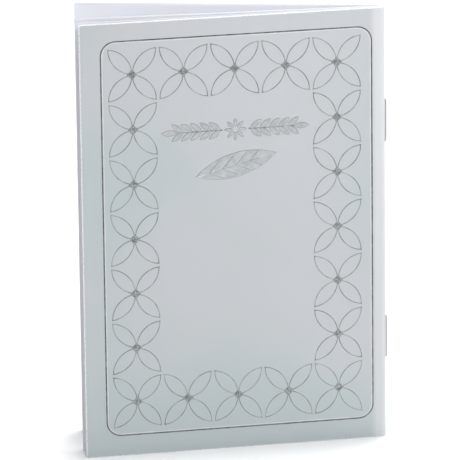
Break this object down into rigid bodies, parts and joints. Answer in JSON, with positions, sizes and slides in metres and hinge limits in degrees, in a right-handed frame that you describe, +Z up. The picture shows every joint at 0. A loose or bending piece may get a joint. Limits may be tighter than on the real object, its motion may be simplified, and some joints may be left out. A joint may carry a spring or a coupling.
{
  "type": "prayer booklet",
  "caption": "Slim stapled prayer booklet, standing slightly open: pearly card cover with raised foil frame and petal border over folded paper sheets that fan from the fold.",
  "frame": {"origin": "on the standing surface, under the centre of the overall box of the booklet as it stands open", "axes": "+Z up along the fold; +X towards the spine; the front cover faces -Y and the back cover's outer face faces +Y"},
  "size_m": [0.0998, 0.0284, 0.145],
  "materials": {
    "cover_card": "pearly silver-white laminate over card, satin",
    "paper": "uncoated white text paper, matt",
    "wire": "drawn galvanised stitching wire",
    "foil": "silver hot-stamped foil, raised"
  },
  "bodies": {
    "binding": {"cover_spine": "cover_card", "sheet_folds": "paper", "staple_top": "wire", "staple_bottom": "wire"},
    "front_cover": {"front_cover": "cover_card", "foil_frame": "foil", "foil_petals": "foil", "foil_lozenges": "foil", "foil_dots": "foil", "foil_sprig": "foil", "foil_leaf": "foil"},
    "back_cover": {"back_cover": "cover_card"},
    "front_leaf_01": {"front_leaf_01": "paper"},
    "front_leaf_02": {"front_leaf_02": "paper"},
    "front_leaf_03": {"front_leaf_03": "paper"},
    "front_leaf_04": {"front_leaf_04": "paper"},
    "front_leaf_05": {"front_leaf_05": "paper"},
    "front_leaf_06": {"front_leaf_06": "paper"},
    "front_leaf_07": {"front_leaf_07": "paper"},
    "front_leaf_08": {"front_leaf_08": "paper"},
    "front_leaf_09": {"front_leaf_09": "paper"},
    "front_leaf_10": {"front_leaf_10": "paper"},
    "front_leaf_11": {"front_leaf_11": "paper"},
    "front_leaf_12": {"front_leaf_12": "paper"},
    "back_leaf_01": {"back_leaf_01": "paper"},
    "back_leaf_02": {"back_leaf_02": "paper"},
    "back_leaf_03": {"back_leaf_03": "paper"},
    "back_leaf_04": {"back_leaf_04": "paper"},
    "back_leaf_05": {"back_leaf_05": "paper"},
    "back_leaf_06": {"back_leaf_06": "paper"},
    "back_leaf_07": {"back_leaf_07": "paper"},
    "back_leaf_08": {"back_leaf_08": "paper"},
    "back_leaf_09": {"back_leaf_09": "paper"},
    "back_leaf_10": {"back_leaf_10": "paper"},
    "back_leaf_11": {"back_leaf_11": "paper"},
    "back_leaf_12": {"back_leaf_12": "paper"}
  },
  "joints": [
    {"name": "front_cover_hinge", "type": "hinge", "parent": "binding", "child": "front_cover", "pos_m": [0.04708, 0.01186, 0.07], "axis": [0, 0, 1], "range_deg": [-13, 77], "deforming": ["cover_spine", "sheet_folds"]},
    {"name": "back_cover_hinge", "type": "hinge", "parent": "binding", "child": "back_cover", "pos_m": [0.04708, 0.01186, 0.07], "axis": [0, 0, -1], "range_deg": [-1.2, 88.8]},
    {"name": "front_leaf_01_turn", "type": "hinge", "parent": "binding", "child": "front_leaf_01", "pos_m": [0.04708, 0.01186, 0.07], "axis": [0, 0, 1], "range_deg": [-8.99, 53.2]},
    {"name": "front_leaf_02_turn", "type": "hinge", "parent": "binding", "child": "front_leaf_02", "pos_m": [0.04708, 0.01186, 0.07], "axis": [0, 0, 1], "range_deg": [-9.05, 53.55]},
    {"name": "front_leaf_03_turn", "type": "hinge", "parent": "binding", "child": "front_leaf_03", "pos_m": [0.04708, 0.01186, 0.07], "axis": [0, 0, 1], "range_deg": [-9.11, 53.91]},
    {"name": "front_leaf_04_turn", "type": "hinge", "parent": "binding", "child": "front_leaf_04", "pos_m": [0.04708, 0.01186, 0.07], "axis": [0, 0, 1], "range_deg": [-9.17, 54.27]},
    {"name": "front_leaf_05_turn", "type": "hinge", "parent": "binding", "child": "front_leaf_05", "pos_m": [0.04708, 0.01186, 0.07], "axis": [0, 0, 1], "range_deg": [-9.23, 54.62]},
    {"name": "front_leaf_06_turn", "type": "hinge", "parent": "binding", "child": "front_leaf_06", "pos_m": [0.04708, 0.01186, 0.07], "axis": [0, 0, 1], "range_deg": [-9.29, 54.98]},
    {"name": "front_leaf_07_turn", "type": "hinge", "parent": "binding", "child": "front_leaf_07", "pos_m": [0.04708, 0.01186, 0.07], "axis": [0, 0, 1], "range_deg": [-9.35, 55.33]},
    {"name": "front_leaf_08_turn", "type": "hinge", "parent": "binding", "child": "front_leaf_08", "pos_m": [0.04708, 0.01186, 0.07], "axis": [0, 0, 1], "range_deg": [-9.41, 55.69]},
    {"name": "front_leaf_09_turn", "type": "hinge", "parent": "binding", "child": "front_leaf_09", "pos_m": [0.04708, 0.01186, 0.07], "axis": [0, 0, 1], "range_deg": [-11.83, 70.02]},
    {"name": "front_leaf_10_turn", "type": "hinge", "parent": "binding", "child": "front_leaf_10", "pos_m": [0.04708, 0.01186, 0.07], "axis": [0, 0, 1], "range_deg": [-11.89, 70.38]},
    {"name": "front_leaf_11_turn", "type": "hinge", "parent": "binding", "child": "front_leaf_11", "pos_m": [0.04708, 0.01186, 0.07], "axis": [0, 0, 1], "range_deg": [-11.95, 70.73]},
    {"name": "front_leaf_12_turn", "type": "hinge", "parent": "binding", "child": "front_leaf_12", "pos_m": [0.04708, 0.01186, 0.07], "axis": [0, 0, 1], "range_deg": [-12.01, 71.09]},
    {"name": "back_leaf_01_turn", "type": "hinge", "parent": "binding", "child": "back_leaf_01", "pos_m": [0.04708, 0.01186, 0.07], "axis": [0, 0, -1], "range_deg": [-0.1, 6.84]},
    {"name": "back_leaf_02_turn", "type": "hinge", "parent": "binding", "child": "back_leaf_02", "pos_m": [0.04708, 0.01186, 0.07], "axis": [0, 0, -1], "range_deg": [-0.2, 13.67]},
    {"name": "back_leaf_03_turn", "type": "hinge", "parent": "binding", "child": "back_leaf_03", "pos_m": [0.04708, 0.01186, 0.07], "axis": [0, 0, -1], "range_deg": [-0.29, 20.5]},
    {"name": "back_leaf_04_turn", "type": "hinge", "parent": "binding", "child": "back_leaf_04", "pos_m": [0.04708, 0.01186, 0.07], "axis": [0, 0, -1], "range_deg": [-0.38, 27.33]},
    {"name": "back_leaf_05_turn", "type": "hinge", "parent": "binding", "child": "back_leaf_05", "pos_m": [0.04708, 0.01186, 0.07], "axis": [0, 0, -1], "range_deg": [-0.47, 34.16]},
    {"name": "back_leaf_06_turn", "type": "hinge", "parent": "binding", "child": "back_leaf_06", "pos_m": [0.04708, 0.01186, 0.07], "axis": [0, 0, -1], "range_deg": [-0.56, 40.99]},
    {"name": "back_leaf_07_turn", "type": "hinge", "parent": "binding", "child": "back_leaf_07", "pos_m": [0.04708, 0.01186, 0.07], "axis": [0, 0, -1], "range_deg": [-0.66, 47.83]},
    {"name": "back_leaf_08_turn", "type": "hinge", "parent": "binding", "child": "back_leaf_08", "pos_m": [0.04708, 0.01186, 0.07], "axis": [0, 0, -1], "range_deg": [-0.75, 54.66]},
    {"name": "back_leaf_09_turn", "type": "hinge", "parent": "binding", "child": "back_leaf_09", "pos_m": [0.04708, 0.01186, 0.07], "axis": [0, 0, -1], "range_deg": [-0.84, 61.49]},
    {"name": "back_leaf_10_turn", "type": "hinge", "parent": "binding", "child": "back_leaf_10", "pos_m": [0.04708, 0.01186, 0.07], "axis": [0, 0, -1], "range_deg": [-0.93, 68.32]},
    {"name": "back_leaf_11_turn", "type": "hinge", "parent": "binding", "child": "back_leaf_11", "pos_m": [0.04708, 0.01186, 0.07], "axis": [0, 0, -1], "range_deg": [-1.02, 75.15]},
    {"name": "back_leaf_12_turn", "type": "hinge", "parent": "binding", "child": "back_leaf_12", "pos_m": [0.04708, 0.01186, 0.07], "axis": [0, 0, -1], "range_deg": [-1.12, 81.98]}
  ],
  "couplings": [
    {"joint": "front_leaf_01_turn", "follows": "front_cover_hinge", "ratio": 0.69077},
    {"joint": "front_leaf_02_turn", "follows": "front_cover_hinge", "ratio": 0.69538},
    {"joint": "front_leaf_03_turn", "follows": "front_cover_hinge", "ratio": 0.7},
    {"joint": "front_leaf_04_turn", "follows": "front_cover_hinge", "ratio": 0.70462},
    {"joint": "front_leaf_05_turn", "follows": "front_cover_hinge", "ratio": 0.70923},
    {"joint": "front_leaf_06_turn", "follows": "front_cover_hinge", "ratio": 0.71385},
    {"joint": "front_leaf_07_turn", "follows": "front_cover_hinge", "ratio": 0.71846},
    {"joint": "front_leaf_08_turn", "follows": "front_cover_hinge", "ratio": 0.72308},
    {"joint": "front_leaf_09_turn", "follows": "front_cover_hinge", "ratio": 0.90923},
    {"joint": "front_leaf_10_turn", "follows": "front_cover_hinge", "ratio": 0.91385},
    {"joint": "front_leaf_11_turn", "follows": "front_cover_hinge", "ratio": 0.91846},
    {"joint": "front_leaf_12_turn", "follows": "front_cover_hinge", "ratio": 0.92308},
    {"joint": "back_leaf_01_turn", "follows": "back_cover_hinge", "ratio": 0.076923},
    {"joint": "back_leaf_02_turn", "follows": "back_cover_hinge", "ratio": 0.15385},
    {"joint": "back_leaf_03_turn", "follows": "back_cover_hinge", "ratio": 0.23077},
    {"joint": "back_leaf_04_turn", "follows": "back_cover_hinge", "ratio": 0.30769},
    {"joint": "back_leaf_05_turn", "follows": "back_cover_hinge", "ratio": 0.38462},
    {"joint": "back_leaf_06_turn", "follows": "back_cover_hinge", "ratio": 0.46154},
    {"joint": "back_leaf_07_turn", "follows": "back_cover_hinge", "ratio": 0.53846},
    {"joint": "back_leaf_08_turn", "follows": "back_cover_hinge", "ratio": 0.61538},
    {"joint": "back_leaf_09_turn", "follows": "back_cover_hinge", "ratio": 0.69231},
    {"joint": "back_leaf_10_turn", "follows": "back_cover_hinge", "ratio": 0.76923},
    {"joint": "back_leaf_11_turn", "follows": "back_cover_hinge", "ratio": 0.84615},
    {"joint": "back_leaf_12_turn", "follows": "back_cover_hinge", "ratio": 0.92308}
  ]
}
